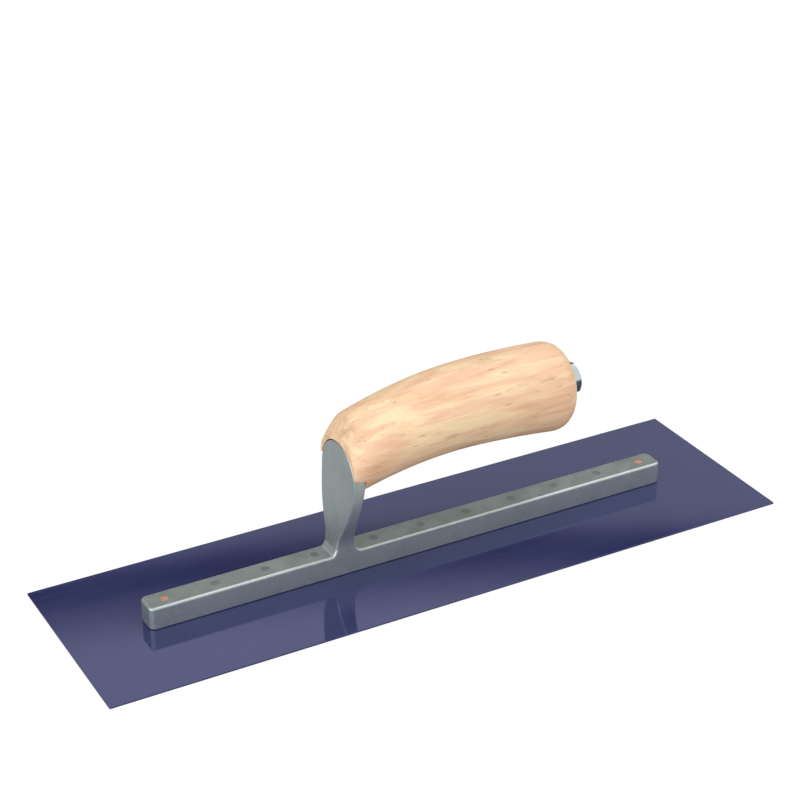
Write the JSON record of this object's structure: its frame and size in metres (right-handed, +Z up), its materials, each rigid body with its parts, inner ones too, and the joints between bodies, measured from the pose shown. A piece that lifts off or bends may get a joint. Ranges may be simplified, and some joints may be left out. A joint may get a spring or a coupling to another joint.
{
  "type": "finishing trowel",
  "caption": "Flat steel finishing trowel with a thin blued blade riveted under a long cast bar and a camel-back wooden handle held by a hex bolt.",
  "frame": {"origin": "centre of the blade's underside, the face that rests on the floor", "axes": "+X along the blade towards the bolt end of the handle, +Y across the blade, +Z up from the blade to the handle"},
  "size_m": [0.3556, 0.1016, 0.0934],
  "materials": {
    "blued_steel": "semi-gloss blue temper",
    "cast_aluminium": "satin",
    "copper_rivet": "ground flush",
    "plain_rivet": "ground flush",
    "hardwood": "fine sanded, clear sealed",
    "zinc_plated_steel": "bright zinc"
  },
  "bodies": {
    "blade_and_mounting": {"blade": "blued_steel", "mounting": "cast_aluminium", "toe_end_rivet": "copper_rivet", "heel_end_rivet": "copper_rivet", "toe_rivets": "plain_rivet", "heel_rivets": "plain_rivet"},
    "handle": {"handle": "hardwood"},
    "handle_bolt": {"handle_bolt": "zinc_plated_steel"}
  },
  "joints": [
    {"name": "handle_draw", "type": "slide", "parent": "blade_and_mounting", "child": "handle", "axis": [0.9942, 0, 0.108], "range_m": [0, 0.0159]},
    {"name": "bolt_turn", "type": "hinge", "parent": "handle", "child": "handle_bolt", "pos_m": [0.0824, 0, 0.0707], "axis": [0.9942, 0, 0.108], "range_deg": [0, 3600]}
  ],
  "couplings": [
    {"joint": "handle_draw", "follows": "bolt_turn", "m_per_rad": 0.00025266}
  ]
}
